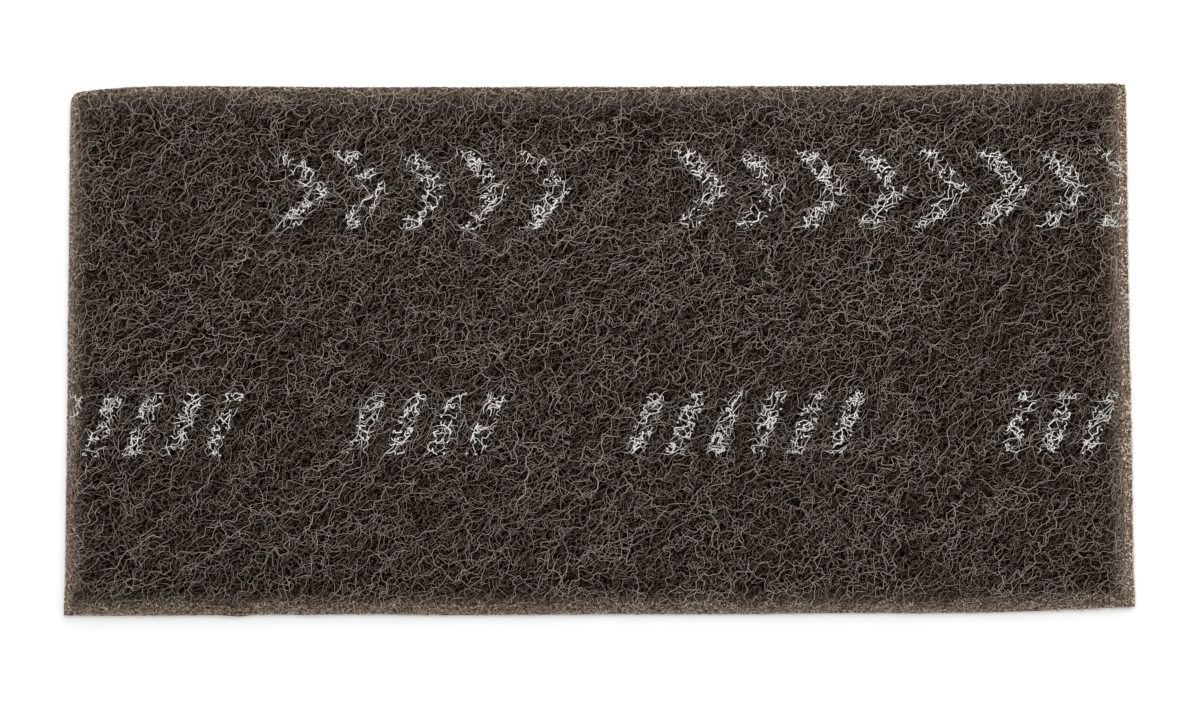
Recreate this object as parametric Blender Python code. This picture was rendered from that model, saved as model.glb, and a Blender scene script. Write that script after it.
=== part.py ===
"""A hand pad of non-woven abrasive web, die-cut from a lofty sheet.

The pad is one piece, modelled in metres with +Z up. X runs along its length and Y
across it, from the front edge at -Y to the back edge at +Y. The origin is at the
middle of the footprint, on the surface that the pad lies on.

The slab is a loft between two skins, the upper one and the under one. Both are lofty:
the upper one has broad mounds and open pockets, and the under one has hollows between
the places where it is pressed flat on the table. The die has pinched the web all round,
so the upper skin rolls down over a shoulder to a thinner cut wall, which leans out to
its foot.
"""

import math

import bmesh
import bpy
from mathutils import Vector, noise

NAME = "abrasive_pad"

# Overall size, measured over the lofted web and at the foot of the cut
LENGTH = 0.2300
WIDTH = 0.1150
THICKNESS = 0.0065

# What the die leaves at the cut: the pinched thickness, and how far its foot is lifted
EDGE_THICKNESS = 0.0029
FOOT_RISE = 0.0009
FOOT_ROUND = 0.0014

# How wide the roll of the upper skin is, at each edge
LEFT_SHOULDER = 0.0028
RIGHT_SHOULDER = 0.0038
FRONT_SHOULDER = 0.0034
BACK_SHOULDER = 0.0032

# How far the cut wall leans out from its top to its foot, at each edge
LEFT_LEAN = 0.0016
RIGHT_LEAN = 0.0022
FRONT_LEAN = 0.0018
BACK_LEAN = 0.0004

# The cut isn't true: the back edge is hollow, two corners are drawn in, one of those is
# nipped off too, and both ends flare a little towards the front
BACK_HOLLOW = 0.0005
BACK_LEFT_DRAWN_IN = 0.0015
BACK_LEFT_REACH = 0.0200
BACK_LEFT_NIPPED = 0.0009
BACK_LEFT_NIP_REACH = 0.0030
FRONT_RIGHT_DRAWN_IN = 0.0013
FRONT_RIGHT_REACH = 0.0520
FRONT_FLARE = 0.0003
FRONT_FLARE_REACH = 0.0140

# The cut also wanders a little along each edge
WANDER = 0.0002
WANDER_PITCH = 0.0340

# Loft of the web: broad mounds, and pockets where few fibres reach the surface
MOUND_HEIGHT = 0.0008
MOUND_PITCH = 0.0210
POCKET_DEPTH = 0.0026
POCKET_PITCH = 0.0095
POCKET_LEVEL = 0.12

# Loft of the under skin: hollows between the places where it is pressed flat
HOLLOW_DEPTH = 0.0020
HOLLOW_PITCH = 0.0110
HOLLOW_LEVEL = 0.10

# Grid lines of the skins and the wall, with some of them kept for each rolled edge
COLUMNS = 70
ROWS = 35
WALL_LEVELS = 4
ROLL_LINES = 4

# Places in the noise, so that each skin and each edge has its own
UPPER_LAYER = 3.7
UNDER_LAYER = 21.5
FRONT_LAYER = 24.6
BACK_LAYER = 27.1
LEFT_LAYER = 33.9
RIGHT_LAYER = 39.4

WEB_COLOUR = (0.062, 0.050, 0.042, 1.0)
WEB_ROUGHNESS = 0.92
SHARP_ANGLE = math.radians(50.0)


def clear_scene():
    for thing in list(bpy.data.objects):
        bpy.data.objects.remove(thing, do_unlink=True)


def mix(low, high, share):
    return low + (high - low) * share


def web_noise(x, y, pitch, layer):
    return noise.noise(Vector((x / pitch, y / pitch, layer)))


def wander(along, layer):
    return WANDER * noise.noise(Vector((along / WANDER_PITCH, 0.0, layer)))


def roll_angle(index, count):
    """How far round its rolled edge a grid line is: 90 degrees at the cut and 0 past it."""
    from_edge = min(index, count - index)
    return math.pi / 2 * max(0.0, 1.0 - from_edge / ROLL_LINES)


def place_line(index, count, low, high, low_roll, high_roll):
    """A grid line's place between low and high, with the outer ones close on the rolls."""
    if index <= ROLL_LINES:
        return low + low_roll * (1.0 - math.sin(roll_angle(index, count)))
    if index >= count - ROLL_LINES:
        return high - high_roll * (1.0 - math.sin(roll_angle(index, count)))
    share = (index - ROLL_LINES) / (count - 2 * ROLL_LINES)
    return mix(low + low_roll, high - high_roll, share)


def roll_depth(column, row):
    """How far the roll has turned down: 0 on the open skin and 1 at the cut."""
    across = math.sin(roll_angle(column, COLUMNS))
    along = math.sin(roll_angle(row, ROWS))
    reach = min(1.0, math.hypot(across, along))
    return 1.0 - math.sqrt(1.0 - reach * reach)


def upper_point(column, row):
    x = place_line(
        column,
        COLUMNS,
        -LENGTH / 2 + LEFT_LEAN,
        LENGTH / 2 - RIGHT_LEAN,
        LEFT_SHOULDER,
        RIGHT_SHOULDER,
    )
    y = place_line(
        row,
        ROWS,
        -WIDTH / 2 + FRONT_LEAN,
        WIDTH / 2 - BACK_LEAN,
        FRONT_SHOULDER,
        BACK_SHOULDER,
    )
    rolled = roll_depth(column, row)
    below_mound = (1.0 - web_noise(x, y, MOUND_PITCH, UPPER_LAYER)) / 2
    pocket = max(0.0, web_noise(x, y, POCKET_PITCH, UPPER_LAYER) - POCKET_LEVEL)
    loft = (1.0 - rolled) * (MOUND_HEIGHT * below_mound + POCKET_DEPTH * pocket)
    cut_top = FOOT_RISE + EDGE_THICKNESS
    return Vector((x, y, mix(THICKNESS, cut_top, rolled) - loft))


def under_point(column, row):
    x = place_line(column, COLUMNS, -LENGTH / 2, LENGTH / 2, FOOT_ROUND, FOOT_ROUND)
    y = place_line(row, ROWS, -WIDTH / 2, WIDTH / 2, FOOT_ROUND, FOOT_ROUND)
    rolled = roll_depth(column, row)
    hollow = max(0.0, web_noise(x, y, HOLLOW_PITCH, UNDER_LAYER) - HOLLOW_LEVEL)
    loft = (1.0 - rolled) * HOLLOW_DEPTH * hollow
    return Vector((x, y, FOOT_RISE * rolled + loft))


def beside_corner(amount, reach, from_end):
    """How far an edge is moved beside a corner, at from_end along it."""
    return amount * max(0.0, 1.0 - from_end / reach) ** 2


def cut_shift(point):
    """How far the die's cut moves a point of the true rectangle."""
    from_left = point.x + LENGTH / 2
    from_front = point.y + WIDTH / 2
    toward_right = from_left / LENGTH
    toward_back = from_front / WIDTH
    back = (
        wander(point.x, BACK_LAYER)
        - BACK_HOLLOW * math.sin(math.pi * toward_right)
        - beside_corner(BACK_LEFT_DRAWN_IN, BACK_LEFT_REACH, from_left)
    )
    front = wander(point.x, FRONT_LAYER) + beside_corner(
        FRONT_RIGHT_DRAWN_IN, FRONT_RIGHT_REACH, LENGTH - from_left
    )
    flare = beside_corner(FRONT_FLARE, FRONT_FLARE_REACH, from_front)
    nip = beside_corner(BACK_LEFT_NIPPED, BACK_LEFT_NIP_REACH, WIDTH - from_front)
    left = wander(point.y, LEFT_LAYER) - flare + nip
    right = wander(point.y, RIGHT_LAYER) + flare
    return Vector((mix(left, right, toward_right), mix(front, back, toward_back), 0.0))


def make_cage():
    """A cube cut into the pad's grid, whose corners are at -1 and 1."""
    cage = bmesh.new()
    bmesh.ops.create_cube(cage, size=2.0)
    for axis, lines in enumerate((COLUMNS, ROWS, WALL_LEVELS)):
        across = [
            edge
            for edge in cage.edges
            if abs(edge.verts[0].co[axis] - edge.verts[1].co[axis]) > 1.0
        ]
        bmesh.ops.subdivide_edges(
            cage, edges=across, cuts=lines - 1, use_grid_fill=True
        )
    return cage


def loft_skins(cage):
    """Moves the cage's points from the cube to the pad, between its under and upper skin."""
    for vertex in cage.verts:
        column = round((vertex.co.x + 1.0) / 2.0 * COLUMNS)
        row = round((vertex.co.y + 1.0) / 2.0 * ROWS)
        level = (vertex.co.z + 1.0) / 2.0
        place = under_point(column, row).lerp(upper_point(column, row), level)
        vertex.co = place + cut_shift(place)


def centre_footprint(cage):
    """Puts the middle of the footprint over the origin."""
    for axis in (0, 1):
        places = [vertex.co[axis] for vertex in cage.verts]
        middle = (min(places) + max(places)) / 2.0
        for vertex in cage.verts:
            vertex.co[axis] -= middle


def web_material():
    material = bpy.data.materials.new("fibre_web")
    material.use_nodes = True
    shader = material.node_tree.nodes["Principled BSDF"]
    shader.inputs["Base Color"].default_value = WEB_COLOUR
    shader.inputs["Roughness"].default_value = WEB_ROUGHNESS
    shader.inputs["Metallic"].default_value = 0.0
    material.diffuse_color = WEB_COLOUR
    return material


def make_pad(collection):
    cage = make_cage()
    loft_skins(cage)
    centre_footprint(cage)
    mesh = bpy.data.meshes.new(NAME)
    cage.to_mesh(mesh)
    cage.free()
    mesh.materials.append(web_material())
    mesh.shade_smooth()
    mesh.set_sharp_from_angle(angle=SHARP_ANGLE)
    pad = bpy.data.objects.new(NAME, mesh)
    collection.objects.link(pad)
    return pad


def main():
    clear_scene()
    collection = bpy.data.collections.new("non_woven_abrasive_pad")
    bpy.context.scene.collection.children.link(collection)
    make_pad(collection)


main()
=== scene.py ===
"""Looks of the non-woven abrasive pad: its fibres, cut edges, print, light and camera.

Everything is in metres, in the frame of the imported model. A body of web follows the
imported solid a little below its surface. Crimped fibres lie over and under it as real
tubes, finer ones run round its cut rim, and the ends of cut fibres stand out of the cut
wall. Two rows of plain marks are printed on the upper fibres.
"""

import math
from dataclasses import dataclass

import bmesh
import bpy
import numpy as np
from mathutils import Matrix, Vector
from mathutils.bvhtree import BVHTree


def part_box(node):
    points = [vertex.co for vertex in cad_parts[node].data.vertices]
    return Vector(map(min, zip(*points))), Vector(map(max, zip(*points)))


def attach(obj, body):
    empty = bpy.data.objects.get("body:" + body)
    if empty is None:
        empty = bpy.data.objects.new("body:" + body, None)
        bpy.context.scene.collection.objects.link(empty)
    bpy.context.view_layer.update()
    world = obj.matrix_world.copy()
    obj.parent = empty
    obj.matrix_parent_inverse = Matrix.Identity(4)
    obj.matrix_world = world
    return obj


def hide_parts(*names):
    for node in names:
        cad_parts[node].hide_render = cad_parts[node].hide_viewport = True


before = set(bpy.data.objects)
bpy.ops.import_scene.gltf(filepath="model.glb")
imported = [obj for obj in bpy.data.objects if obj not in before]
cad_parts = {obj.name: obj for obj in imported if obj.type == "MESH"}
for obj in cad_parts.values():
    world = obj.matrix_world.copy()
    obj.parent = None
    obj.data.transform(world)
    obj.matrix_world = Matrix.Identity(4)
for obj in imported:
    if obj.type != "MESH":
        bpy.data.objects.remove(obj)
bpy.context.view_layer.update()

MM = 0.001
NODE = "abrasive_pad"
BODY = "root"
SEED = 7

# Camera: almost straight above, and where the pad's middle lies in the photo's frame
PHOTO_WIDE = 1200
PHOTO_MIDDLE = (600.0, 350.5)
PAD_MIDDLE = (598.6, 348.8)
PX_PER_MM = 4.6145
CAMERA_DISTANCE = 0.664
CAMERA_TILT = math.radians(4.6)
CAMERA_ROLL = math.radians(-0.16)
SENSOR = 36.0
CLIP_NEAR = 0.01
CLIP_FAR = 10.0

# Light: a wide soft lamp above and a little behind, and a plain white world
LAMP_SIZE = 0.40
LAMP_PLACE = (0.03, 0.15, 0.36)
LAMP_POWER = 1.42
WORLD_LIGHT = 0.32

# Floor, a little below the pad, and how far it is lifted to white near to and far away
FLOOR_SIZE = 3.0
FLOOR_DROP = 0.1 * MM
FLOOR_COLOUR = (0.90, 0.90, 0.90, 1.0)
FLOOR_ROUGHNESS = 0.9
FLOOR_LIFT = (0.30, 0.85)
FLOOR_LIFT_REACH = (0.13, 0.36)

# Colours, as linear values
# The web's ground colours: its own dark brown, taken to near black as painted shade deep in the web
WEB_DEEP_SHADE = (0.0030, 0.0012, 0.0006, 1.0)
WEB_DARK_SHADE = (0.0090, 0.0044, 0.0024, 1.0)
WEB_LINE = (0.165, 0.122, 0.094, 1.0)
FIBRE_DARK = (0.030, 0.021, 0.015, 1.0)
FIBRE_MIDDLE = (0.136, 0.106, 0.087, 1.0)
FIBRE_PALE = (0.780, 0.664, 0.578, 1.0)
CUT_PORE = (0.035, 0.024, 0.016, 1.0)
CUT_DARK = (0.270, 0.190, 0.136, 1.0)
CUT_MIDDLE = (0.820, 0.640, 0.500, 1.0)
CUT_PALE = (1.000, 0.860, 0.730, 1.0)
INK = (0.985, 0.960, 0.925, 1.0)
WHITE = (1.0, 1.0, 1.0, 1.0)


# The solid's surface, read as grids of points

# Grid of the skins, the height at which the outline is read, and where rays start
TOP_PITCH = 0.8 * MM
FOOT_LEVEL = 0.95 * MM
RAY_ROOM = 12.0 * MM

# Grid of the rim, read by rays towards a line that runs inside it
RIM_INSET = 6.5 * MM
RIM_AXIS_HEIGHT = 2.0 * MM
RIM_LOWEST = math.radians(-14.0)
RIM_HIGHEST = math.radians(88.0)
RIM_RAYS = 48
RIM_PITCH = 0.8 * MM
RIM_REACH = 7.6 * MM

# A grid is read up to just before its last line
LAST_LINE = 1.001
SHORTEST_VECTOR = 1e-12

# How strongly the cut shows at the left, right, front and back edge, and how far in. Each
# is the cut's own tan, made paler at the right edge as a painted highlight and duller at
# the back as painted shade
CUT_EDGES_WITH_SIDE_LIGHT = ((1.7, 6.2 * MM), (1.95, 7.8 * MM), (1.5, 6.0 * MM), (0.44, 9.5 * MM))
CUT_FADE = 2.8


class Skin:
    """A stretch of surface: points on an even grid, read anywhere between them."""

    def __init__(self, points, start, pitch, facing=1):
        self.points = points
        self.start = start
        self.pitch = pitch
        normals = facing * np.cross(np.gradient(points, axis=0), np.gradient(points, axis=1))
        self.normals = unit(normals)

    def read(self, a, b):
        """Points of the surface and the ways out of it, at distances a and b along the grid."""
        i = np.clip((a - self.start[0]) / self.pitch, 0, self.points.shape[0] - LAST_LINE)
        j = np.clip((b - self.start[1]) / self.pitch, 0, self.points.shape[1] - LAST_LINE)
        i0, j0 = i.astype(int), j.astype(int)
        fi, fj = (i - i0)[..., None], (j - j0)[..., None]
        found = []
        for grid in (self.points, self.normals):
            near = grid[i0, j0] * (1 - fj) + grid[i0, j0 + 1] * fj
            far = grid[i0 + 1, j0] * (1 - fj) + grid[i0 + 1, j0 + 1] * fj
            found.append(near * (1 - fi) + far * fi)
        return found[0], unit(found[1])


class Solid:
    """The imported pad, asked by rays for its skins, its cut rim and its outline."""

    def __init__(self, node):
        mesh = bmesh.new()
        mesh.from_mesh(node.data)
        self.tree = BVHTree.FromBMesh(mesh)
        mesh.free()
        low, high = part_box(NODE)
        self.low, self.high = np.array(low), np.array(high)
        self.xs = np.arange(self.low[0], self.high[0] + TOP_PITCH, TOP_PITCH)
        self.ys = np.arange(self.low[1], self.high[1] + TOP_PITCH, TOP_PITCH)
        self.left = self.edge(0, +1)
        self.right = self.edge(0, -1)
        self.front = self.edge(1, +1)
        self.back = self.edge(1, -1)

    def skin(self, side):
        """The upper skin (side 1) or the under skin (side -1), over the pad's plan."""
        start = self.high[2] + RAY_ROOM if side > 0 else self.low[2] - RAY_ROOM
        heights = np.full((len(self.xs), len(self.ys)), np.nan)
        way = Vector((0.0, 0.0, -side))
        for i, x in enumerate(self.xs):
            for j, y in enumerate(self.ys):
                hit = self.tree.ray_cast(Vector((x, y, start)), way)[0]
                if hit is not None:
                    heights[i, j] = hit.z
        flat_x, flat_y = np.meshgrid(self.xs, self.ys, indexing="ij")
        points = np.dstack([flat_x, flat_y, fill_outward(heights)])
        return Skin(points, (self.xs[0], self.ys[0]), TOP_PITCH, facing=side)

    def edge(self, axis, way):
        """Where the outline lies along `axis`, for each place along the other axis."""
        along = self.ys if axis == 0 else self.xs
        heading = Vector((0.0, 0.0, 0.0))
        heading[axis] = way
        found = np.full(len(along), np.nan)
        for k, place in enumerate(along):
            start = Vector((0.0, 0.0, FOOT_LEVEL))
            start[axis] = (self.low if way > 0 else self.high)[axis] - way * RAY_ROOM
            start[1 - axis] = place
            hit = self.tree.ray_cast(start, heading)[0]
            if hit is not None:
                found[k] = hit[axis]
        known = ~np.isnan(found)
        return np.interp(along, along[known], found[known])

    def from_edges(self, x, y):
        """How far inside the left, right, front and back edge each point is."""
        return np.stack(
            [
                x - np.interp(y, self.ys, self.left),
                np.interp(y, self.ys, self.right) - x,
                y - np.interp(x, self.xs, self.front),
                np.interp(x, self.xs, self.back) - y,
            ]
        )

    def inside(self, x, y):
        """How far inside the outline each point is, from the nearest edge."""
        return self.from_edges(x, y).min(0)

    def cut(self, x, y):
        """How tan and pale the cut has left each point, with painted light that differs by edge: 0
        on the open skins.
        """
        shares = [
            np.clip(strength * np.clip(1.0 - away / reach, 0.0, 1.0) ** CUT_FADE, 0.0, 1.0)
            for away, (strength, reach) in zip(self.from_edges(x, y), CUT_EDGES_WITH_SIDE_LIGHT)
        ]
        return np.maximum.reduce(shares)

    def rim(self):
        """The cut wall and its rolled shoulder, all round: along the edge, then up it.

        Rays come in towards a line that runs inside the rim, and their hits are spaced
        evenly up each section.
        """
        half = self.high[:2] - RIM_INSET
        turn_length = RIM_INSET * math.pi / 2
        corners = np.array([[-1, -1], [1, -1], [1, 1], [-1, 1]]) * half
        corners = corners[[0, 1, 1, 2, 2, 3, 3, 0, 0]]
        stretches = [2 * half[0], turn_length, 2 * half[1], turn_length] * 2
        knots = np.concatenate([[0.0], np.cumsum(stretches)])
        turns = np.radians([-90, -90, 0, 0, 90, 90, 180, 180, 270])
        self.round = knots[-1]
        places = np.arange(0.0, self.round + 2 * RIM_PITCH, RIM_PITCH)
        angles = np.linspace(RIM_LOWEST, RIM_HIGHEST, RIM_RAYS)
        up = np.arange(0.0, RIM_REACH, RIM_PITCH)
        grid = np.empty((len(places), len(up), 3))
        for i, place in enumerate(places % self.round):
            x = np.interp(place, knots, corners[:, 0])
            y = np.interp(place, knots, corners[:, 1])
            turn = np.interp(place, knots, turns)
            section = self.section(Vector((x, y, RIM_AXIS_HEIGHT)), turn, angles)
            lengths = np.linalg.norm(np.diff(section, axis=0), axis=1)
            run = np.concatenate([[0.0], np.cumsum(lengths)])
            for k in range(3):
                grid[i, :, k] = np.interp(up, run, section[:, k])
        return Skin(grid, (0.0, 0.0), RIM_PITCH)

    def section(self, axis, turn, angles):
        """Points up the rim where rays towards one place of the inner line first hit."""
        hits = []
        for angle in angles:
            level = math.cos(angle)
            out = Vector((level * math.cos(turn), level * math.sin(turn), math.sin(angle)))
            hits.append(self.tree.ray_cast(axis + out * RAY_ROOM, -out)[0])
        return np.array(hits)


def unit(vectors):
    lengths = np.linalg.norm(vectors, axis=-1, keepdims=True)
    return vectors / np.maximum(lengths, SHORTEST_VECTOR)


def fill_outward(heights):
    """Gives points just outside the pad the height of their nearest known neighbour."""
    filled = heights.copy()
    while np.isnan(filled).any():
        padded = np.pad(filled, 1, constant_values=np.nan)
        around = np.stack(
            [padded[:-2, 1:-1], padded[2:, 1:-1], padded[1:-1, :-2], padded[1:-1, 2:]]
        )
        known = np.isfinite(around)
        count = known.sum(0)
        total = np.where(known, around, 0.0).sum(0)
        reached = np.isnan(filled) & (count > 0)
        filled[reached] = total[reached] / count[reached]
    return filled


# Fibres: crimped paths on a skin, made into closed tubes

# A path's steps, and the tube that is made round it
STEP = 0.2 * MM
SIDES = 3
SEGMENT_TRIANGLES = 2 * SIDES
TAPER = 0.55
RADIUS_SPREAD = 0.16
RADIUS_RANGE = (0.7, 1.5)
TONE_SKEW = 1.3

# Paths are drawn in batches, and of each few the one with the least fibre round it is laid
BATCH = 600
CHOICES = 24
CELL = 0.8 * MM
SHORTEST_FIBRE = 2.0 * MM
SHORTEST_RUN = 3
MOST_RUNS = 1000

# How a fibre's ends dive into the web, and how its depth varies, as a share of the layer's
DIVE_REACH = 2.0 * MM
DIVE_DEPTH = 0.5 * MM
DEPTH_SWING = 0.35

# Most fibres run about one way, and the others anywhere
STRAND_HEADING = math.radians(40.0)
STRAND_SPREAD = math.radians(26.0)
STRAND_SHARE = 0.75

# How much a fibre crimps, against others, and how much each of its waves does
LIVELY = (0.5, 1.4)
SWING_SPREAD = (0.75, 1.25)

# How far the heading of a fibre swings over the lengths between shortest and longest
CRIMP = (
    (1.8 * MM, 3.4 * MM, 0.55),
    (4.0 * MM, 8.0 * MM, 0.85),
    (12.0 * MM, 24.0 * MM, 0.5),
)


@dataclass
class Weave:
    """How the fibres of one layer run. Lengths are metres and swings are radians.

    waves holds (shortest, longest, swing): the heading swings that far over such lengths.
    A fibre gets a new point after each straight_step, or sooner where it has turned by
    turn_step. Fibres are laid until the layer has used up its triangles.
    """

    length: float
    depth: tuple
    radius: float
    tone: tuple
    waves: tuple = CRIMP
    straight_step: float = 5.0 * MM
    turn_step: float = 1.15
    depth_waves: tuple = (3.0 * MM, 8.0 * MM)
    triangles: int = 0


@dataclass
class Paths:
    """Fibres as one list of points, with each point's run, way out, size and colours."""

    run: np.ndarray
    points: np.ndarray
    out: np.ndarray
    radius: np.ndarray
    tone: np.ndarray
    cut: np.ndarray
    ink: np.ndarray


class Crowding:
    """How much fibre lies in each small square of a skin, so that new ones lie evenly."""

    def __init__(self, low, high):
        self.low, self.high = np.array(low), np.array(high)
        self.shape = np.ceil((self.high - self.low) / CELL).astype(int) + 1
        self.load = np.zeros(self.shape.prod())

    def cells(self, a, b):
        i = np.clip(((a - self.low[0]) / CELL).astype(int), 0, self.shape[0] - 1)
        j = np.clip(((b - self.low[1]) / CELL).astype(int), 0, self.shape[1] - 1)
        return i * self.shape[1] + j

    def under(self, cells):
        """How much fibre is already where one would lie."""
        return self.load[cells].mean()

    def add(self, cells):
        np.add.at(self.load, cells, 1.0)


def wave(rng, count, along, shortest, longest):
    """A sine along each fibre, of its own wavelength and phase."""
    length = rng.uniform(shortest, longest, (count, 1))
    return np.sin(2 * np.pi * (along / length + rng.random((count, 1))))


def crimped_paths(rng, count, region, weave):
    """Places and depths on a skin of fibres that crimp and wander, point by point."""
    steps = int(weave.length / STEP)
    along = np.arange(steps) * STEP
    lively = rng.uniform(*LIVELY, (count, 1))
    toward = rng.normal(STRAND_HEADING, STRAND_SPREAD, (count, 1))
    anywhere = rng.uniform(0, 2 * np.pi, (count, 1))
    heading = np.where(rng.random((count, 1)) < STRAND_SHARE, toward, anywhere)
    for shortest, longest, swing in weave.waves:
        size = swing * lively * rng.uniform(*SWING_SPREAD, (count, 1))
        heading = heading + size * wave(rng, count, along, shortest, longest)
    a = np.cumsum(np.cos(heading), axis=1) * STEP
    b = np.cumsum(np.sin(heading), axis=1) * STEP
    middle = steps // 2
    for way, places in enumerate((a, b)):
        start = rng.uniform(region.low[way], region.high[way], (count, 1))
        places += start - places[:, middle : middle + 1]
    level = rng.random((count, 1)) + DEPTH_SWING * wave(rng, count, along, *weave.depth_waves)
    depth = weave.depth[0] + (weave.depth[1] - weave.depth[0]) * np.clip(level, 0.0, 1.0)
    from_end = np.minimum(along, along[::-1])
    depth = depth + DIVE_DEPTH * np.clip(1.0 - from_end / DIVE_REACH, 0.0, 1.0) ** 2
    return a, b, depth, heading


def pick_points(inside, heading, weave):
    """Which points of each path to keep, closer together where it bends, and their runs."""
    before = np.pad(inside, ((0, 0), (1, 0)))[:, :-1]
    after = np.pad(inside, ((0, 0), (0, 1)))[:, 1:]
    starts = inside & ~before
    ends = inside & ~after
    turning = np.abs(np.diff(heading, axis=1, prepend=heading[:, :1]))
    spent = np.cumsum(STEP / weave.straight_step + turning / weave.turn_step, axis=1)
    turns = np.diff(np.floor(spent), axis=1, prepend=0) > 0
    runs = np.cumsum(starts, axis=1)
    return inside & (starts | ends | turns), runs


def lay_fibres(rng, skin, crowding, keeps, weave):
    """Lays fibres where a skin has fewest, until the layer's triangles are used up.

    keeps(a, b, slack) trims them: slack, from -1 to 1, is each fibre's own.
    """
    laid = []
    left = weave.triangles
    while left > 0:
        a, b, depth, heading = crimped_paths(rng, BATCH, crowding, weave)
        inside = keeps(a, b, rng.uniform(-1, 1, (BATCH, 1)))
        chosen, runs = pick_points(inside, heading, weave)
        cells = crowding.cells(a, b)
        long_enough = inside.sum(1) * STEP > SHORTEST_FIBRE
        for first in range(0, BATCH, CHOICES):
            among = [k for k in range(first, first + CHOICES) if long_enough[k]]
            if not among:
                continue
            k = min(among, key=lambda each: crowding.under(cells[each][inside[each]]))
            picked = chosen[k]
            left -= SEGMENT_TRIANGLES * picked.sum()
            if left < 0:
                break
            crowding.add(cells[k][inside[k]])
            laid.append((a[k][picked], b[k][picked], depth[k][picked], runs[k][picked]))
    a, b, depth = (np.concatenate([each[k] for each in laid]) for k in range(3))
    fibre = np.repeat(np.arange(len(laid)), [len(each[0]) for each in laid])
    run = fibre * MOST_RUNS + np.concatenate([each[3] for each in laid])
    _, index, sizes = np.unique(run, return_inverse=True, return_counts=True)
    long_enough = sizes[index] >= SHORTEST_RUN
    a, b, depth, fibre, index = (v[long_enough] for v in (a, b, depth, fibre, index))
    points, out = skin.read(a, b)
    points = points - out * depth[:, None]
    girth = np.clip(rng.lognormal(0.0, RADIUS_SPREAD, len(laid)), *RADIUS_RANGE)
    radius = weave.radius * girth[fibre]
    darkest, palest = weave.tone
    tone = darkest + (palest - darkest) * rng.random(len(laid))[fibre] ** TONE_SKEW
    blank = np.zeros(len(fibre))
    return Paths(index, points, out, radius, tone, blank, blank.copy())


def tube_rings(paths):
    """Each point's ring of vertices, and whether each point goes on to the next one."""
    same = paths.run[1:] == paths.run[:-1]
    steps = np.where(same[:, None], unit(np.diff(paths.points, axis=0)), 0.0)
    ahead = np.concatenate([steps, np.zeros((1, 3))])
    behind = np.concatenate([np.zeros((1, 3)), steps])
    along = unit(ahead + behind)
    beside = unit(np.cross(along, paths.out))
    upward = np.cross(beside, along)
    is_end = ~(np.append(same, False) & np.insert(same, 0, False))
    radius = np.where(is_end, paths.radius * TAPER, paths.radius)[:, None]
    angles = 2 * np.pi * (np.arange(SIDES) + 0.5) / SIDES
    rings = [
        paths.points + radius * (math.cos(t) * upward + math.sin(t) * beside) for t in angles
    ]
    return np.stack(rings, axis=1), same


# The bake map: a strip for each fibre, in columns, with gaps at its ends and sides
STRIP_COLUMNS = 4
STRIP_END = 0.25
STRIP_GAP = 0.02
STRIP_HALF = 0.35
CAP_LEAN = 0.0004


def strip_map(run):
    """Each fibre's strip of the bake map: its points' u, and the strip's low and high v."""
    _, index, sizes = np.unique(run, return_inverse=True, return_counts=True)
    first = np.concatenate([[0], np.cumsum(sizes)[:-1]])
    share = (np.arange(len(run)) - first[index] + STRIP_END) / (sizes[index] - 2 * STRIP_END)
    rows = math.ceil(len(sizes) / STRIP_COLUMNS)
    u = (index % STRIP_COLUMNS + STRIP_GAP + (1 - 2 * STRIP_GAP) * share) / STRIP_COLUMNS
    v = (index // STRIP_COLUMNS + 0.5) / rows
    return u, v - STRIP_HALF / rows, v + STRIP_HALF / rows


def tube_mesh(name, paths):
    """One mesh of closed tubes, with their colours as attributes and a map for baking."""
    rings, same = tube_rings(paths)
    count = len(paths.run)
    first = np.arange(count) * SIDES
    here = np.nonzero(same)[0]
    quads = []
    for k in range(SIDES):
        n = (k + 1) % SIDES
        corners = (first[here] + k, first[here] + n, first[here + 1] + n, first[here + 1] + k)
        quads.append(np.stack(corners, axis=1))
    quads = np.stack(quads, axis=1).reshape(-1, 4)
    begins = np.nonzero(~np.insert(same, 0, False))[0]
    ends = np.nonzero(~np.append(same, False))[0]
    caps = np.concatenate(
        [first[begins][:, None] + (0, 2, 1), first[ends][:, None] + (0, 1, 2)]
    )
    mesh = bpy.data.meshes.new(name)
    mesh.vertices.add(count * SIDES)
    mesh.vertices.foreach_set("co", rings.ravel())
    corners = np.concatenate([quads.ravel(), caps.ravel()])
    mesh.loops.add(len(corners))
    mesh.loops.foreach_set("vertex_index", corners)
    mesh.polygons.add(len(quads) + len(caps))
    sizes = np.concatenate([np.full(len(quads), 4), np.full(len(caps), 3)])
    mesh.polygons.foreach_set("loop_start", np.concatenate([[0], np.cumsum(sizes)[:-1]]))
    mesh.update(calc_edges=True)
    for layer_name in ("tone", "cut", "ink"):
        values = np.repeat(getattr(paths, layer_name), SIDES).astype(np.float32)
        mesh.attributes.new(layer_name, "FLOAT", "POINT").data.foreach_set("value", values)
    u, v_low, v_high = strip_map(paths.run)
    quad_u = np.stack([u[here], u[here], u[here + 1], u[here + 1]], axis=1)
    quad_v = np.stack([v_low[here], v_high[here], v_high[here], v_low[here]], axis=1)
    quad_map = np.repeat(np.stack([quad_u, quad_v], axis=2), SIDES, axis=0)
    capped = np.concatenate([begins, ends])
    cap_u = u[capped][:, None] + np.array([0.0, CAP_LEAN, 0.0])
    cap_v = np.stack([v_low[capped], (v_low + v_high)[capped] / 2, v_high[capped]], axis=1)
    cap_map = np.stack([cap_u, cap_v], axis=2)
    places = np.concatenate([quad_map.ravel(), cap_map.ravel()]).astype(np.float32)
    mesh.uv_layers.new(name="OFBake").data.foreach_set("uv", places)
    mesh.shade_smooth()
    mesh.validate()
    return mesh


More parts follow.
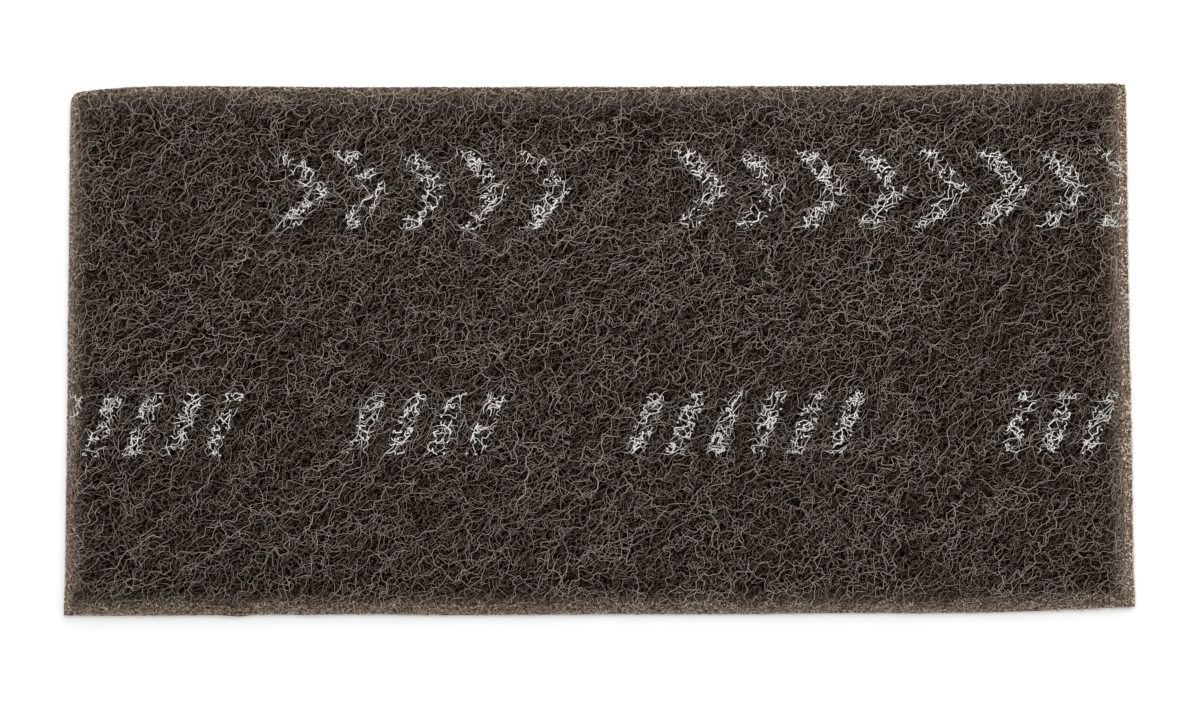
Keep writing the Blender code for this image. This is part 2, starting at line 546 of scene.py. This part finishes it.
def add_piece(name, mesh, material):
    """Puts a piece in the scene, riding on the pad's one body."""
    mesh.materials.append(material)
    piece = bpy.data.objects.new(name, mesh)
    bpy.context.scene.collection.objects.link(piece)
    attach(piece, BODY)
    return piece


# Print: broken rows of plain marks, in ink that lies on the fibres nearest the surface


@dataclass
class MarkRow:
    """A row of slanted strokes, or of folded ones, with their groups as (start, count).

    reach is how far a stroke leans from the row's middle to its top, or how far it folds.
    """

    level: float
    height: float
    stroke: float
    pitch: float
    reach: float
    folded: bool
    groups: tuple

    def covers(self, x, y):
        share = (y - self.level) / (self.height / 2)
        shift = self.reach * (1.0 - np.abs(share) if self.folded else share)
        found = np.zeros(x.shape, bool)
        for start, count in self.groups:
            along = x - start - shift
            found |= (along > 0) & (along < count * self.pitch) & (along % self.pitch < self.stroke)
        return found & (np.abs(share) < 1.0)


MARK_ROWS = (
    MarkRow(
        level=34.0 * MM,
        height=17.0 * MM,
        stroke=5.2 * MM,
        pitch=13.0 * MM,
        reach=7.0 * MM,
        folded=True,
        groups=((-70.0 * MM, 5), (16.0 * MM, 8)),
    ),
    MarkRow(
        level=-16.5 * MM,
        height=13.5 * MM,
        stroke=4.2 * MM,
        pitch=8.6 * MM,
        reach=2.6 * MM,
        folded=False,
        groups=((-117.0 * MM, 5), (-52.0 * MM, 4), (8.0 * MM, 6), (88.0 * MM, 4)),
    ),
)

# How deep the ink goes, the share of fibres that it missed, and how much it thickens them
INK_DEPTH = 0.28 * MM
INK_MISSED = 0.4
INK_COAT = 0.8

# Seeds of the pieces' own draws, next to those of the top layers, which are 0 to 3
UNDER_SEED = 10
RIM_SEED = 20
PRINT_SEED = 30
INKED_WEAVE = Weave(
    length=4.6 * MM,
    depth=(-0.14 * MM, 0.02 * MM),
    radius=0.120 * MM,
    tone=(1.0, 1.0),
    waves=((1.2 * MM, 2.2 * MM, 0.8), (2.6 * MM, 5.0 * MM, 1.0)),
    turn_step=0.8,
    triangles=25_000,
)

# Clots of ink: short tubes with a ring of its own size at each step along them
BLOB_COUNT = 300
BLOB_TRIES = 40
BLOB_RADIUS = 0.25 * MM
BLOB_SIZES = (0.6, 1.3)
BLOB_SHAPE = (0.5, 1.0, 0.4)
BLOB_STEP = 0.26 * MM
BLOB_SINK = 0.6
BLOB_SPREAD = 1.0


def is_marked(x, y):
    return np.logical_or.reduce([row.covers(x, y) for row in MARK_ROWS])


def ink_fibres(rng, paths, depth):
    """Inks the stretches of fibre that lie in a mark and near enough the surface."""
    missed = rng.random(paths.run.max() + 1)[paths.run] < INK_MISSED
    reached = is_marked(paths.points[:, 0], paths.points[:, 1]) & (depth < INK_DEPTH)
    paths.ink = np.where(reached & ~missed, 1.0, 0.0)
    paths.radius = paths.radius * (1.0 + INK_COAT * paths.ink)


def make_print(solid, skin, material):
    """Fibres thick with ink, and small clots of it where they cross."""

    def keeps(x, y, slack):
        return is_marked(x, y) & (solid.inside(x, y) > TOP_TRIM)

    rng = np.random.default_rng([SEED, PRINT_SEED])
    crowding = Crowding(solid.low[:2], solid.high[:2])
    paths = lay_fibres(rng, skin, crowding, keeps, INKED_WEAVE)
    paths.ink = np.ones(len(paths.run))
    add_piece("inked_fibres", tube_mesh("inked_fibres", paths), material)

    x = rng.uniform(solid.low[0], solid.high[0], BLOB_COUNT * BLOB_TRIES)
    y = rng.uniform(solid.low[1], solid.high[1], BLOB_COUNT * BLOB_TRIES)
    chosen = np.nonzero(is_marked(x, y) & (solid.inside(x, y) > RIM_INSET))[0][:BLOB_COUNT]
    turn = rng.normal(STRAND_HEADING, BLOB_SPREAD, len(chosen))[:, None]
    along = (np.arange(len(BLOB_SHAPE)) - len(BLOB_SHAPE) // 2) * BLOB_STEP
    points, out = skin.read(
        (x[chosen, None] + np.cos(turn) * along).ravel(),
        (y[chosen, None] + np.sin(turn) * along).ravel(),
    )
    sizes = rng.uniform(*BLOB_SIZES, (len(chosen), 1)) * BLOB_RADIUS * np.array(BLOB_SHAPE)
    full = np.ones(len(points))
    clots = Paths(
        np.repeat(np.arange(len(chosen)), len(BLOB_SHAPE)),
        points - out * BLOB_SINK * sizes.ravel()[:, None],
        out,
        sizes.ravel(),
        full,
        0.0 * full,
        full,
    )
    add_piece("ink_clots", tube_mesh("ink_clots", clots), material)


# Materials

# The sockets of a colour mix: its two colours and its result
FIRST_COLOUR = 6
SECOND_COLOUR = 7
MIXED_COLOUR = 2


def add_node(tree, kind, inputs=None, **settings):
    """Adds a node. Each input is a value, or a socket to link from."""
    node = tree.nodes.new(kind)
    for key, value in settings.items():
        setattr(node, key, value)
    for key, value in (inputs or {}).items():
        if isinstance(value, bpy.types.NodeSocket):
            tree.links.new(value, node.inputs[key])
        else:
            node.inputs[key].default_value = value
    return node


def math_node(tree, operation, *values, clamp=False):
    node = add_node(tree, "ShaderNodeMath", dict(enumerate(values)), operation=operation)
    node.use_clamp = clamp
    return node.outputs[0]


def mix_colours(tree, factor, first, second):
    inputs = {"Factor": factor, FIRST_COLOUR: first, SECOND_COLOUR: second}
    return add_node(tree, "ShaderNodeMix", inputs, data_type="RGBA").outputs[MIXED_COLOUR]


def noise_node(tree, place, scale, detail=2.0, roughness=0.5):
    inputs = {"Vector": place, "Scale": scale, "Detail": detail, "Roughness": roughness}
    return add_node(tree, "ShaderNodeTexNoise", inputs)


def share_of_range(tree, value, ends):
    """How far a value is from the low to the high end of a range, from 0 to 1."""
    inputs = {"Value": value, "From Min": ends[0], "From Max": ends[1]}
    return add_node(tree, "ShaderNodeMapRange", inputs).outputs["Result"]


def attribute_node(tree, name):
    return add_node(tree, "ShaderNodeAttribute", attribute_name=name).outputs["Fac"]


def ramp_node(tree, factor, stops):
    """A colour ramp through (place, colour) stops."""
    node = add_node(tree, "ShaderNodeValToRGB", {"Fac": factor})
    elements = node.color_ramp.elements
    elements[0].position, elements[0].color = stops[0]
    elements[1].position, elements[1].color = stops[-1]
    for place, colour in stops[1:-1]:
        elements.new(place).color = colour
    return node.outputs["Color"]


def new_material(name):
    """A material with its node tree, its shader and the place in the object's own axes."""
    material = bpy.data.materials.new(name)
    material.use_nodes = True
    tree = material.node_tree
    shader = tree.nodes["Principled BSDF"]
    place = add_node(tree, "ShaderNodeTexCoord").outputs["Object"]
    return material, tree, shader, place


def set_shader(tree, shader, colour, roughness, height, strength, distance):
    """Links colour, roughness and a bump from a height to the shader."""
    bump = add_node(
        tree, "ShaderNodeBump", {"Height": height, "Strength": strength, "Distance": distance}
    )
    tree.links.new(colour, shader.inputs["Base Color"])
    tree.links.new(roughness, shader.inputs["Roughness"])
    tree.links.new(bump.outputs["Normal"], shader.inputs["Normal"])


# Scales of the noises, in features per metre
GRAIN_SCALE = 3200.0
SPECK_SCALE = 2500.0
PATCH_SCALE = 420.0

# Cut fibres: where they stand together, painted paler there as a highlight, and their ends, with
# the spread of their paleness
CLUMP_SCALE = 1700.0
CLUMP_RANGE = (0.42, 0.60)
END_SCALE = 5000.0
END_SIZE = 0.58
END_SPREAD = 0.6
END_LEAST = 0.4

# Fibre: what patches and grain add to its tone, and what is then taken off it
PATCH_IN_TONE = 0.25
GRAIN_IN_TONE = 2.2
TONE_TAKEN_OFF = 1.24
FIBRE_STOPS = ((0.0, FIBRE_DARK), (0.5, FIBRE_MIDDLE), (1.0, FIBRE_PALE))
FIBRE_CUT_STOPS = ((0.0, CUT_DARK), (0.5, CUT_MIDDLE), (1.0, CUT_PALE))
FIBRE_GLOSS = 0.15

# Body: its ground, the web's own dark brown taken to near black as painted shade deep in the web,
# and its cut wall
SHADED_GROUND_STOPS = ((0.35, WEB_DEEP_SHADE), (0.65, WEB_DARK_SHADE))
BODY_CUT_STOPS = ((0.0, CUT_PORE), (0.2, CUT_DARK), (0.9, CUT_MIDDLE))

# What the painted highlight on clumps adds to how pale a cut is and what it has without
# it, then what grain adds to the roughness and what that is without it, then the bump's strength
# and its height
FIBRE_CLUMP_HIGHLIGHT = (0.7, 0.6)
FIBRE_ROUGHNESS = (0.3, 0.45)
FIBRE_BUMP = (0.5, 0.03 * MM)
BODY_CLUMP_HIGHLIGHT = (1.1, 0.2)
BODY_ROUGHNESS = (0.2, 0.75)
BODY_BUMP = (0.8, 0.15 * MM)


def clump_highlights(tree, place):
    """Where the cut fibres stand together, painted paler as a highlight: 1 there and 0 between."""
    noise = noise_node(tree, place, CLUMP_SCALE, detail=1.0).outputs["Fac"]
    return share_of_range(tree, noise, CLUMP_RANGE)


def cut_ends(tree, place):
    """Cut fibres seen end on: a dot in each cell, each of its own paleness."""
    cells = add_node(tree, "ShaderNodeTexVoronoi", {"Vector": place, "Scale": END_SCALE})
    paleness = add_node(
        tree, "ShaderNodeSeparateXYZ", {"Vector": cells.outputs["Color"]}
    ).outputs[0]
    paleness = math_node(tree, "MULTIPLY_ADD", paleness, END_SPREAD, END_LEAST)
    dot = math_node(tree, "LESS_THAN", cells.outputs["Distance"], END_SIZE)
    return math_node(tree, "MULTIPLY", dot, paleness)


def fibre_material():
    """Resin-coated fibre: its own tone, darker in the lower layers as painted shade of depth, fine
    grain, tan where it was cut and paler as a painted highlight where cut ones stand together, pale
    where inked.
    """
    material, tree, shader, place = new_material("crimped_fibre")
    grain = noise_node(tree, place, GRAIN_SCALE, detail=3.0, roughness=0.7).outputs["Fac"]
    patch = noise_node(tree, place, PATCH_SCALE).outputs["Fac"]
    tone = math_node(
        tree, "MULTIPLY_ADD", patch, PATCH_IN_TONE, attribute_node(tree, "tone")
    )
    tone = math_node(tree, "MULTIPLY_ADD", grain, GRAIN_IN_TONE, tone)
    tone = math_node(tree, "SUBTRACT", tone, TONE_TAKEN_OFF, clamp=True)
    bare = ramp_node(tree, tone, FIBRE_STOPS)
    # Cut fibres paler where they stand together: a painted highlight
    clump_highlight = math_node(tree, "MULTIPLY_ADD", clump_highlights(tree, place), *FIBRE_CLUMP_HIGHLIGHT)
    tan_tone = math_node(tree, "MULTIPLY", tone, clump_highlight)
    tan = ramp_node(tree, tan_tone, FIBRE_CUT_STOPS)
    colour = mix_colours(tree, attribute_node(tree, "cut"), bare, tan)
    colour = mix_colours(tree, attribute_node(tree, "ink"), colour, INK)
    roughness = math_node(tree, "MULTIPLY_ADD", grain, *FIBRE_ROUGHNESS)
    shader.inputs["Specular IOR Level"].default_value = FIBRE_GLOSS
    set_shader(tree, shader, colour, roughness, grain, *FIBRE_BUMP)
    return material


# Net of curls on the body: drawn out along the strands, one set of lines for each level
# of paleness, the lower ones darker as painted shade of depth, each hiding the ones below
# it behind a dark edge of painted shadow, with painted shade in voids where the web is open
NET_STRETCH = 1.5
NET_SCALE = 1000.0
NET_STEP = 0.02 * MM
NET_HALF_WIDTH = 0.060 * MM
NET_DEPTH_SHADE_LEVELS = (0.30, 0.60, 1.0)
NET_COVER_AND_SHADOW = 3.0
NET_BEND = 0.35
VOID_SHADE_SCALE = 1300.0
VOID_SHADE_RANGE = (0.44, 0.58)


def vector_node(tree, operation, *values, **inputs):
    linked = dict(enumerate(values)) | inputs
    return add_node(tree, "ShaderNodeVectorMath", linked, operation=operation).outputs[0]


def curl_lines(tree, place):
    """Three sets of thin curling lines: where each channel of a noise passes its middle."""

    def noise_at(x, y):
        moved = vector_node(tree, "ADD", place, (x, y, 0.0))
        node = noise_node(tree, moved, NET_SCALE, detail=1.0, roughness=NET_BEND)
        return node.outputs["Color"]

    here = noise_at(0.0, 0.0)
    slopes = []
    for step in ((NET_STEP / NET_STRETCH, 0.0), (0.0, NET_STEP)):
        rise = vector_node(tree, "SUBTRACT", noise_at(*step), here)
        slopes.append(vector_node(tree, "MULTIPLY", rise, rise))
    slope = vector_node(tree, "ADD", *slopes)
    away = vector_node(tree, "SUBTRACT", here, (0.5, 0.5, 0.5))
    away = vector_node(tree, "MULTIPLY", away, away)
    away = vector_node(tree, "SCALE", away, Scale=(NET_STEP / NET_HALF_WIDTH) ** 2)
    share = vector_node(tree, "DIVIDE", away, slope)
    lines = vector_node(tree, "SUBTRACT", (1.0, 1.0, 1.0), share)
    lines = vector_node(tree, "MAXIMUM", lines, (0.0, 0.0, 0.0))
    return add_node(tree, "ShaderNodeSeparateXYZ", {"Vector": lines}).outputs[:]


def shaded_fibre_net(tree, place):
    """Layers of curling lines over each other, as fibres farther down show, the lower ones darker
    as painted shade, with a dark edge of painted shadow round the upper ones and painted shade in
    the open voids.
    """
    turned = add_node(
        tree,
        "ShaderNodeMapping",
        {"Vector": place, "Rotation": (0.0, 0.0, STRAND_HEADING), "Scale": (NET_STRETCH, 1, 1)},
        vector_type="TEXTURE",
    ).outputs[0]
    net = 0.0
    # Lower sets darker, and a dark edge round each upper line: painted shade and painted shadow
    for line, level in zip(curl_lines(tree, turned), NET_DEPTH_SHADE_LEVELS):
        cover = math_node(tree, "MULTIPLY", line, NET_COVER_AND_SHADOW, clamp=True)
        above = math_node(tree, "MULTIPLY", line, level)
        kept = math_node(tree, "SUBTRACT", 1.0, cover)
        kept = math_node(tree, "MULTIPLY", kept, net)
        net = math_node(tree, "MULTIPLY_ADD", above, cover, kept)
    # Painted shade in the voids where the web is open: the lines fade out there to the dark ground
    void_shade = noise_node(tree, place, VOID_SHADE_SCALE, detail=1.0).outputs["Fac"]
    return math_node(tree, "MULTIPLY", net, share_of_range(tree, void_shade, VOID_SHADE_RANGE))


def body_material():
    """The web between and below the modelled fibres: dark, and darker still as painted shade of
    depth, crossed by finer curls.
    """
    material, tree, shader, place = new_material("web_body")
    lines = shaded_fibre_net(tree, place)
    grain = noise_node(tree, place, SPECK_SCALE, detail=2.0, roughness=0.6).outputs["Fac"]
    patch = noise_node(tree, place, PATCH_SCALE).outputs["Fac"]
    ground = ramp_node(tree, patch, SHADED_GROUND_STOPS)
    colour = mix_colours(tree, lines, ground, WEB_LINE)
    ends = cut_ends(tree, place)
    # Cut ends paler where they stand together: a painted highlight
    clump_highlight = math_node(tree, "MULTIPLY_ADD", clump_highlights(tree, place), *BODY_CLUMP_HIGHLIGHT)
    tan_tone = math_node(tree, "MULTIPLY", ends, clump_highlight)
    tan = ramp_node(tree, tan_tone, BODY_CUT_STOPS)
    colour = mix_colours(tree, attribute_node(tree, "cut"), colour, tan)
    roughness = math_node(tree, "MULTIPLY_ADD", grain, *BODY_ROUGHNESS)
    height = math_node(tree, "ADD", lines, grain)
    height = math_node(tree, "ADD", height, ends)
    shader.inputs["Specular IOR Level"].default_value = 0.0
    set_shader(tree, shader, colour, roughness, height, *BODY_BUMP)
    return material


def seen_directly(tree):
    """1 for the camera's rays and those mirrored or let through, and 0 for all others."""
    rays = add_node(tree, "ShaderNodeLightPath").outputs
    seen = math_node(tree, "MAXIMUM", rays["Is Camera Ray"], rays["Is Glossy Ray"])
    return math_node(tree, "MAXIMUM", seen, rays["Is Transmission Ray"])


def floor_material():
    """Pale and matt, and lifted to white for the camera, with the pad's shadow kept.

    The lift grows away from the pad, where less of the lamp's light falls.
    """
    material, tree, shader, place = new_material("floor")
    shader.inputs["Base Color"].default_value = FLOOR_COLOUR
    shader.inputs["Roughness"].default_value = FLOOR_ROUGHNESS
    shader.inputs["Emission Color"].default_value = WHITE
    away = add_node(
        tree, "ShaderNodeVectorMath", {0: place}, operation="LENGTH"
    ).outputs["Value"]
    inputs = {
        "Value": away,
        "From Min": FLOOR_LIFT_REACH[0],
        "From Max": FLOOR_LIFT_REACH[1],
        "To Min": FLOOR_LIFT[0],
        "To Max": FLOOR_LIFT[1],
    }
    lift = add_node(tree, "ShaderNodeMapRange", inputs).outputs["Result"]
    lift = math_node(tree, "MULTIPLY", seen_directly(tree), lift)
    tree.links.new(lift, shader.inputs["Emission Strength"])
    return material


# Pieces

# How far the body is let in, under its skins and at its walls
BODY_SINK = 0.7 * MM
BODY_WALL_SINK = 0.10 * MM
BODY_WELD = 0.01 * MM
BODY_CREASE_ANGLE = math.radians(50.0)


def make_body(solid):
    """The web's body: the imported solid, rounded finer and let in under its skins."""
    mesh = bmesh.new()
    mesh.from_mesh(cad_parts[NODE].data)
    bmesh.ops.remove_doubles(mesh, verts=mesh.verts, dist=BODY_WELD)
    crease = mesh.edges.layers.float.new("crease_edge")
    for edge in mesh.edges:
        if edge.calc_face_angle(0.0) > BODY_CREASE_ANGLE:
            edge[crease] = 1.0
    mesh.normal_update()
    for vertex in mesh.verts:
        level = vertex.normal.z**2
        vertex.co -= vertex.normal * (BODY_WALL_SINK + (BODY_SINK - BODY_WALL_SINK) * level)
    rough = bpy.data.meshes.new("web_body_rough")
    mesh.to_mesh(rough)
    mesh.free()
    shaper = bpy.data.objects.new("web_body_rough", rough)
    bpy.context.scene.collection.objects.link(shaper)
    shaper.modifiers.new("finer", "SUBSURF").levels = 1
    depsgraph = bpy.context.evaluated_depsgraph_get()
    made = bpy.data.meshes.new_from_object(shaper.evaluated_get(depsgraph))
    made.name = "web_body"
    bpy.data.objects.remove(shaper, do_unlink=True)
    places = np.empty(len(made.vertices) * 3)
    made.vertices.foreach_get("co", places)
    places = places.reshape(-1, 3)
    cut = solid.cut(places[:, 0], places[:, 1])
    layer = made.attributes.new("cut", "FLOAT", "POINT")
    layer.data.foreach_set("value", cut.astype(np.float32))
    made.shade_smooth()
    piece = add_piece("web_body", made, body_material())
    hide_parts(NODE)


# How far inside the outline the upper fibres end, and how much that varies
TOP_TRIM = 1.0 * MM
TOP_TRIM_SLACK = 0.9 * MM
# The lower layers' tones are darker, as painted shade of depth under the fibres above
TOP_LAYERS = {
    "fibres_top_low": Weave(
        length=15 * MM,
        depth=(0.30 * MM, 0.55 * MM),
        radius=0.032 * MM,
        tone=(0.15, 0.80),
        turn_step=1.3,
        triangles=150_000,
    ),
    "fibres_top_middle": Weave(
        length=15 * MM,
        depth=(0.20 * MM, 0.45 * MM),
        radius=0.032 * MM,
        tone=(0.25, 0.90),
        turn_step=1.2,
        triangles=176_000,
    ),
    "fibres_top_high": Weave(
        length=15 * MM,
        depth=(0.08 * MM, 0.35 * MM),
        radius=0.034 * MM,
        tone=(0.40, 1.10),
        turn_step=0.95,
        triangles=204_000,
    ),
    "fibres_top_last": Weave(
        length=17 * MM,
        depth=(0.0 * MM, 0.25 * MM),
        radius=0.038 * MM,
        tone=(0.55, 1.20),
        turn_step=0.85,
        triangles=206_000,
    ),
}


def make_top(solid, skin, material):
    """Layers of fibres over the upper skin, trimmed at the top of the cut wall."""

    def keeps(x, y, slack):
        return solid.inside(x, y) > TOP_TRIM + TOP_TRIM_SLACK * slack

    crowding = Crowding(solid.low[:2], solid.high[:2])
    for index, (name, weave) in enumerate(TOP_LAYERS.items()):
        rng = np.random.default_rng([SEED, index])
        paths = lay_fibres(rng, skin, crowding, keeps, weave)
        paths.cut = solid.cut(paths.points[:, 0], paths.points[:, 1])
        depth = skin.read(paths.points[:, 0], paths.points[:, 1])[0][:, 2] - paths.points[:, 2]
        ink_fibres(rng, paths, depth)
        add_piece(name, tube_mesh(name, paths), material)


# How far inside the outline the under fibres end, and the share by which that varies
UNDER_TRIM = 1.0 * MM
UNDER_TRIM_SLACK = 0.5
UNDER_WEAVE = Weave(
    length=30 * MM,
    depth=(0.08 * MM, 0.5 * MM),
    radius=0.090 * MM,
    tone=(0.25, 0.80),
    triangles=50_000,
)


def make_under(solid, skin, material):
    """One layer of fibres over the under skin."""

    def keeps(x, y, slack):
        return solid.inside(x, y) > UNDER_TRIM * (1 + UNDER_TRIM_SLACK * slack)

    rng = np.random.default_rng([SEED, UNDER_SEED])
    crowding = Crowding(solid.low[:2], solid.high[:2])
    paths = lay_fibres(rng, skin, crowding, keeps, UNDER_WEAVE)
    add_piece("fibres_under", tube_mesh("fibres_under", paths), material)


# How far up the rim its fibres and cut ends lie, from the foot
RIM_LOW = 0.2 * MM
RIM_HIGH = 5.4 * MM
RIM_HIGH_SLACK = 1.0 * MM
RIM_WEAVE = Weave(
    length=7 * MM,
    depth=(-0.05 * MM, 0.15 * MM),
    radius=0.048 * MM,
    tone=(0.1, 1.1),
    waves=((1.2 * MM, 2.2 * MM, 0.5), (2.5 * MM, 5.0 * MM, 1.2)),
    triangles=60_000,
)

# Cut ends: short stubs that lean any way out of the wall, more of them farther down
STUB_COUNT = 12_000
STUB_LENGTH = (0.40 * MM, 0.80 * MM)
STUB_PROUD = 0.15 * MM
STUB_RADIUS = 0.066 * MM
STUB_LEAN = 0.9
STUB_LEAST_OUT = 0.15
STUB_CROWD_LOW = 1.5
FOOT_STUB_SHARE = 0.4
FOOT_STUB_HIGH = 1.3 * MM

# Tones of the bright stubs and the dull ones, at their tips and as a share of that at
# their roots, which are darker as painted shade inside the wall
STUB_TONES = (1.8, -0.1)
STUB_ROOT_SHADE = 0.5

# The share of bright stubs and their size, at the right edge and elsewhere; the larger pale ones at
# the right edge are a painted highlight
STUB_RIGHT_HIGHLIGHT_REACH = 2.6 * MM
STUB_BRIGHT_SHARE = (0.35, 0.5)
STUB_BRIGHT_SIZE = (2.4, 1.4)


def make_rim(solid, skin, material):
    """Fine fibres round the cut wall and its shoulder, and the ends of cut ones."""

    def keeps(a, b, slack):
        return (b > RIM_LOW) & (b < RIM_HIGH + RIM_HIGH_SLACK * slack)

    rng = np.random.default_rng([SEED, RIM_SEED])
    crowding = Crowding((0.0, 0.0), (solid.round, RIM_REACH))
    fibres = lay_fibres(rng, skin, crowding, keeps, RIM_WEAVE)
    fibres.cut = solid.cut(fibres.points[:, 0], fibres.points[:, 1])
    add_piece("fibres_rim", tube_mesh("fibres_rim", fibres), material)

    a = rng.uniform(0.0, solid.round, STUB_COUNT)
    b = RIM_LOW + (RIM_HIGH - RIM_LOW) * rng.random(STUB_COUNT) ** STUB_CROWD_LOW
    at_foot = rng.random(STUB_COUNT) < FOOT_STUB_SHARE
    b[at_foot] = rng.uniform(RIM_LOW, FOOT_STUB_HIGH, at_foot.sum())
    tips, out = skin.read(a, b)
    way = unit(out + STUB_LEAN * rng.normal(0.0, 1.0, out.shape))
    outward = (way * out).sum(1, keepdims=True)
    way = unit(way + out * np.maximum(0.0, STUB_LEAST_OUT - outward))
    length = rng.uniform(*STUB_LENGTH, STUB_COUNT)[:, None]
    tips = tips + out * rng.uniform(0.0, STUB_PROUD, (STUB_COUNT, 1))
    # Bigger pale stubs at the right edge: a painted highlight on that side
    at_right_highlight = solid.from_edges(tips[:, 0], tips[:, 1])[1] < STUB_RIGHT_HIGHLIGHT_REACH
    is_bright = rng.random(STUB_COUNT) < np.where(at_right_highlight, *STUB_BRIGHT_SHARE)
    bright_size = np.where(at_right_highlight, *STUB_BRIGHT_SIZE)
    tips = tips + out * (at_right_highlight & is_bright)[:, None] * STUB_PROUD
    points = np.stack([tips - way * length, tips], axis=1).reshape(-1, 3)
    points[:, 2] = np.maximum(points[:, 2], STUB_RADIUS)
    side = unit(np.cross(way, rng.normal(0.0, 1.0, out.shape)))
    tone = np.where(is_bright, *STUB_TONES)
    radius = STUB_RADIUS / TAPER * np.where(is_bright, bright_size, 1.0)
    # Each stub's root gets a share of its tip's tone: painted shade inside the wall
    stubs = Paths(
        np.repeat(np.arange(STUB_COUNT), 2),
        points,
        np.repeat(side, 2, axis=0),
        np.repeat(radius, 2),
        np.stack([tone * STUB_ROOT_SHADE, tone], axis=1).ravel(),
        solid.cut(points[:, 0], points[:, 1]),
        np.zeros(2 * STUB_COUNT),
    )
    add_piece("cut_ends", tube_mesh("cut_ends", stubs), material)


# Stage


def make_floor():
    mesh = bmesh.new()
    bmesh.ops.create_grid(mesh, x_segments=1, y_segments=1, size=FLOOR_SIZE / 2)
    made = bpy.data.meshes.new("floor")
    mesh.to_mesh(made)
    mesh.free()
    made.materials.append(floor_material())
    floor = bpy.data.objects.new("floor", made)
    floor.location.z = -FLOOR_DROP
    bpy.context.scene.collection.objects.link(floor)


def make_light():
    lamp = bpy.data.lights.new("softbox", "AREA")
    lamp.shape = "SQUARE"
    lamp.size = LAMP_SIZE
    lamp.energy = LAMP_POWER
    softbox = bpy.data.objects.new("softbox", lamp)
    softbox.location = LAMP_PLACE
    softbox.rotation_euler = Vector(LAMP_PLACE).to_track_quat("Z", "Y").to_euler()
    bpy.context.scene.collection.objects.link(softbox)


def make_world():
    """White to the camera and in reflections, and a plain soft light on the object."""
    world = bpy.data.worlds.new("world")
    bpy.context.scene.world = world
    world.use_nodes = True
    tree = world.node_tree
    background = tree.nodes["Background"]
    background.inputs["Color"].default_value = WHITE
    strength = add_node(
        tree,
        "ShaderNodeMapRange",
        {"Value": seen_directly(tree), "To Min": WORLD_LIGHT, "To Max": 1.0},
    )
    tree.links.new(strength.outputs["Result"], background.inputs["Strength"])


def make_camera():
    """A camera placed so that the pad's middle is where the photo has it."""
    back = Vector((0.0, -math.sin(CAMERA_TILT), math.cos(CAMERA_TILT)))
    level = Vector((1.0, 0.0, 0.0))
    upright = back.cross(level)
    across = math.cos(CAMERA_ROLL) * level + math.sin(CAMERA_ROLL) * upright
    upward = math.cos(CAMERA_ROLL) * upright - math.sin(CAMERA_ROLL) * level
    right_of = (PAD_MIDDLE[0] - PHOTO_MIDDLE[0]) / PX_PER_MM * MM
    above = (PHOTO_MIDDLE[1] - PAD_MIDDLE[1]) / PX_PER_MM * MM
    place = back * CAMERA_DISTANCE - across * right_of - upward * above
    turn = Matrix((across, upward, back)).transposed().to_4x4()
    lens = bpy.data.cameras.new("camera")
    lens.sensor_width = SENSOR
    lens.lens = SENSOR * (PX_PER_MM / MM) * CAMERA_DISTANCE / PHOTO_WIDE
    lens.clip_start = CLIP_NEAR
    lens.clip_end = CLIP_FAR
    camera = bpy.data.objects.new("camera", lens)
    camera.matrix_world = Matrix.Translation(place) @ turn
    bpy.context.scene.collection.objects.link(camera)
    bpy.context.scene.camera = camera


def main():
    bpy.context.scene.view_settings.view_transform = "Standard"
    make_camera()
    make_world()
    make_light()
    make_floor()
    solid = Solid(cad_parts[NODE])
    upper, under, rim = solid.skin(+1), solid.skin(-1), solid.rim()
    fibre = fibre_material()
    make_body(solid)
    make_top(solid, upper, fibre)
    make_print(solid, upper, fibre)
    make_under(solid, under, fibre)
    make_rim(solid, rim, fibre)


main()
